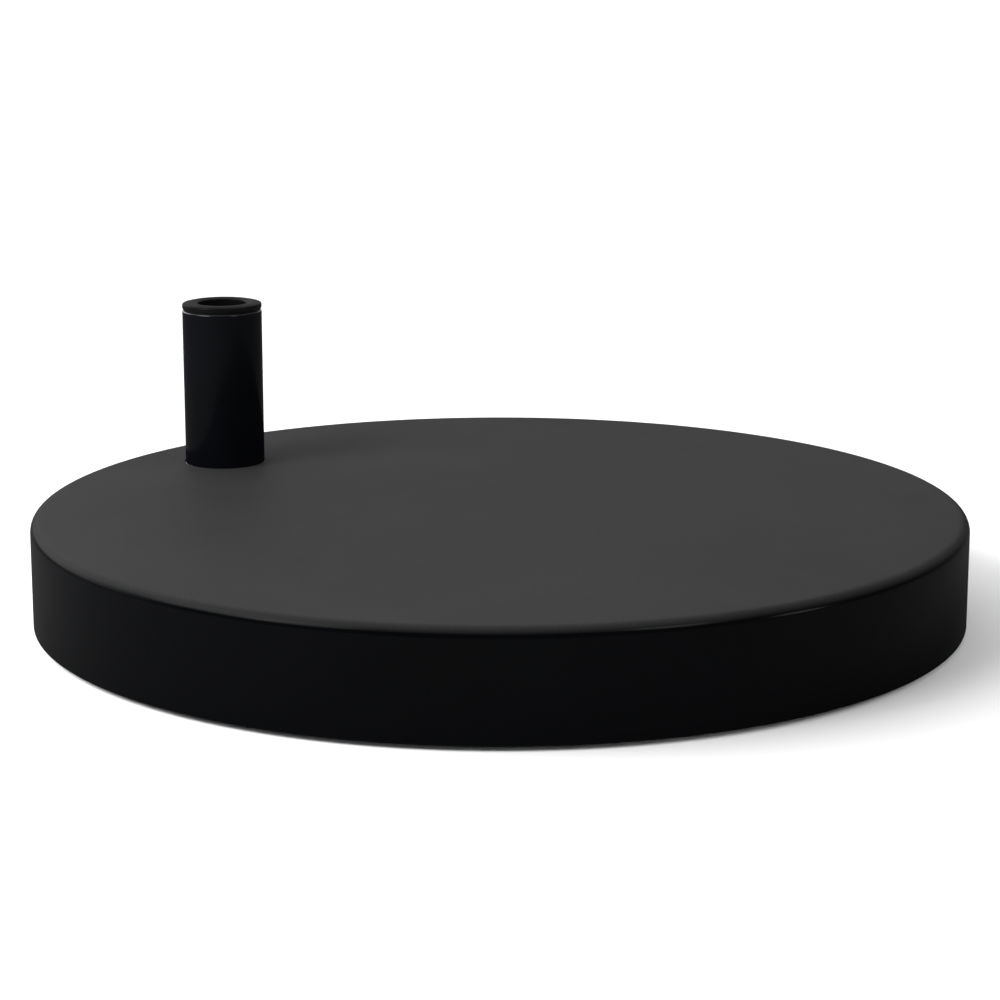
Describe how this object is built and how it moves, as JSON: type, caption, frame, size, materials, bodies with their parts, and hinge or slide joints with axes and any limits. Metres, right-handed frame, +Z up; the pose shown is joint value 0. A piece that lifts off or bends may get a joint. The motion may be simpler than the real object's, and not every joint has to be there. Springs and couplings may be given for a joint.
{
  "type": "parasol base",
  "caption": "Round steel-covered concrete parasol base with an off-centre pole socket, a lift-out pole bush and flush clamp screws.",
  "frame": {"origin": "centre of the disc on the floor, at the feet's undersides", "axes": "+Z up along the pole; the pole socket stands on the +Y side of the disc"},
  "size_m": [0.7, 0.7, 0.212],
  "materials": {
    "black_powder_coat": "satin",
    "concrete": "matte",
    "foam": "matte",
    "zinc_plated_steel": "satin",
    "galvanised_sheet": "satin",
    "primed_steel": "matte",
    "blackened_steel": "satin",
    "black_rubber": "matte",
    "black_plastic": "satin",
    "natural_plastic": "satin"
  },
  "bodies": {
    "base": {"cover_shell": "black_powder_coat", "socket_tube": "black_powder_coat", "damping_sheet": "foam", "ballast_slab": "concrete", "weld_studs": "zinc_plated_steel", "stud_sleeves": "natural_plastic", "stud_washers": "zinc_plated_steel", "stud_nuts": "zinc_plated_steel", "bottom_pan": "galvanised_sheet", "anchor_plate": "primed_steel", "anchor_sockets": "zinc_plated_steel", "anchor_screws": "zinc_plated_steel", "tube_seal": "black_rubber", "lower_bush": "black_plastic", "drain_grommet": "black_rubber", "rubber_feet": "black_rubber", "foot_washers": "zinc_plated_steel", "foot_screws": "zinc_plated_steel", "foot_inserts": "zinc_plated_steel"},
    "upper_bush": {"upper_bush": "black_plastic"},
    "thrust_pad_upper": {"thrust_pad_upper": "natural_plastic"},
    "thrust_pad_lower": {"thrust_pad_lower": "natural_plastic"},
    "clamp_screw_upper": {"clamp_screw_upper": "blackened_steel"},
    "clamp_screw_lower": {"clamp_screw_lower": "blackened_steel"}
  },
  "joints": [
    {"name": "bush_lift", "type": "slide", "parent": "base", "child": "upper_bush", "axis": [0, 0, 1], "range_m": [0, 0.06]},
    {"name": "pad_travel_upper", "type": "slide", "parent": "base", "child": "thrust_pad_upper", "axis": [0, -1, 0], "range_m": [-0.00185, 0.00068]},
    {"name": "screw_turn_upper", "type": "hinge", "parent": "thrust_pad_upper", "child": "clamp_screw_upper", "pos_m": [0, 0.3, 0.137], "axis": [0, -1, 0], "range_deg": [-540, 200]},
    {"name": "pad_travel_lower", "type": "slide", "parent": "base", "child": "thrust_pad_lower", "axis": [0, -1, 0], "range_m": [-0.00185, 0.00068]},
    {"name": "screw_turn_lower", "type": "hinge", "parent": "thrust_pad_lower", "child": "clamp_screw_lower", "pos_m": [0, 0.3, 0.107], "axis": [0, -1, 0], "range_deg": [-540, 200]}
  ],
  "couplings": [
    {"joint": "screw_turn_upper", "follows": "pad_travel_upper", "rad_per_m": 5026.5},
    {"joint": "screw_turn_lower", "follows": "pad_travel_lower", "rad_per_m": 5026.5}
  ]
}
